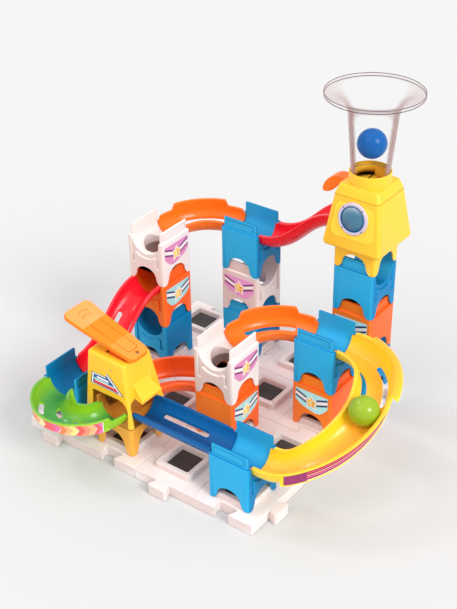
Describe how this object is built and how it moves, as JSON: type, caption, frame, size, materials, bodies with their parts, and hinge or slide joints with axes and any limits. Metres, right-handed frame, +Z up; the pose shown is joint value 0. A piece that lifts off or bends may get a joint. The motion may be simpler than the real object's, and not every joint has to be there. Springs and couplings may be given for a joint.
{
  "type": "marble run",
  "caption": "Stacking-block marble run: jigsaw base, towers with channels, clip-on curves and slides, funnel house with release gate, lever launcher and marbles.",
  "frame": {"origin": "on the underside of the base, under the centre of the launcher's socket", "axes": "+Z up, +X along the launch track, +Y along the socket rows towards the funnel tower"},
  "size_m": [0.3108, 0.2864, 0.2947],
  "materials": {
    "white_plastic": "satin moulded",
    "black_rubber": "matt",
    "blue_plastic": "satin moulded",
    "deep_blue_plastic": "satin moulded",
    "orange_plastic": "satin moulded",
    "red_orange_plastic": "satin moulded",
    "amber_plastic": "satin moulded",
    "yellow_plastic": "satin moulded",
    "warm_yellow_plastic": "satin moulded",
    "green_plastic": "satin moulded",
    "red_plastic": "satin moulded",
    "clear_plastic": "clear polished",
    "lilac_plastic": "satin moulded",
    "teal_plastic": "polished",
    "brown_plastic": "satin moulded",
    "steel": "bright",
    "blue_marble_plastic": "polished",
    "green_marble_plastic": "polished"
  },
  "bodies": {
    "run": {"base_tile_1_1": "white_plastic", "base_tile_1_3": "white_plastic", "base_tile_3_1": "white_plastic", "base_tile_3_3": "white_plastic", "socket_pad_1_1": "black_rubber", "socket_pad_1_2": "black_rubber", "socket_pad_1_3": "black_rubber", "socket_pad_1_4": "black_rubber", "socket_pad_2_1": "black_rubber", "socket_pad_2_2": "black_rubber", "socket_pad_2_3": "black_rubber", "socket_pad_2_4": "black_rubber", "socket_pad_3_1": "black_rubber", "socket_pad_3_2": "black_rubber", "socket_pad_3_3": "black_rubber", "socket_pad_3_4": "black_rubber", "socket_pad_4_1": "black_rubber", "socket_pad_4_2": "black_rubber", "socket_pad_4_3": "black_rubber", "socket_pad_4_4": "black_rubber", "tower_a_block_1": "blue_plastic", "tower_b_block_1": "blue_plastic", "tower_b_block_3": "blue_plastic", "tower_d_block_2": "blue_plastic", "tower_e_block_1": "blue_plastic", "tower_e_block_3": "blue_plastic", "end_block_left": "blue_plastic", "end_block_front": "blue_plastic", "tower_a_block_2": "orange_plastic", "tower_c_block_1": "orange_plastic", "tower_d_block_1": "orange_plastic", "tower_e_block_2": "orange_plastic", "upper_curve": "orange_plastic", "middle_curve": "orange_plastic", "tower_a_block_3": "white_plastic", "tower_b_block_2": "white_plastic", "tower_c_block_2": "white_plastic", "lower_curve": "red_orange_plastic", "long_curve": "yellow_plastic", "green_curve": "green_plastic", "launch_track": "deep_blue_plastic", "upper_slide": "red_plastic", "lower_slide": "red_plastic", "funnel_house": "yellow_plastic", "launcher_body": "yellow_plastic", "funnel": "clear_plastic", "porthole_ring": "lilac_plastic", "porthole_lens": "teal_plastic", "launcher_frame": "warm_yellow_plastic", "paddle_pin": "steel", "kicker_pin": "steel", "return_spring": "steel"},
    "paddle": {"launch_paddle": "amber_plastic"},
    "hammer": {"kicker": "brown_plastic"},
    "gate": {"release_gate": "amber_plastic"},
    "dropped_marble": {"blue_marble": "blue_marble_plastic"},
    "rolling_marble": {"green_marble": "green_marble_plastic"}
  },
  "joints": [
    {"name": "paddle_press", "type": "hinge", "parent": "run", "child": "paddle", "pos_m": [0.004, 0, 0.092], "axis": [0, -1, 0], "range_deg": [0, 16.3], "stiffness_Nm_per_rad": 0.03, "springref_deg": -28.65},
    {"name": "hammer_swing", "type": "hinge", "parent": "run", "child": "hammer", "pos_m": [-0.016, 0, 0.082], "axis": [0, -1, 0], "range_deg": [0, 22.8]},
    {"name": "gate_pull", "type": "slide", "parent": "run", "child": "gate", "axis": [-1, 0, 0], "range_m": [0, 0.026], "stiffness_N_per_m": 20, "springref_m": -0.002},
    {"name": "blue_marble_lift", "type": "slide", "parent": "run", "child": "dropped_marble", "axis": [0, 0, 1], "range_m": [0, 0.06]},
    {"name": "green_marble_lift", "type": "slide", "parent": "run", "child": "rolling_marble", "axis": [0, 0, 1], "range_m": [0, 0.06]}
  ],
  "couplings": [
    {"joint": "hammer_swing", "follows": "paddle_press", "ratio": 1.35}
  ]
}
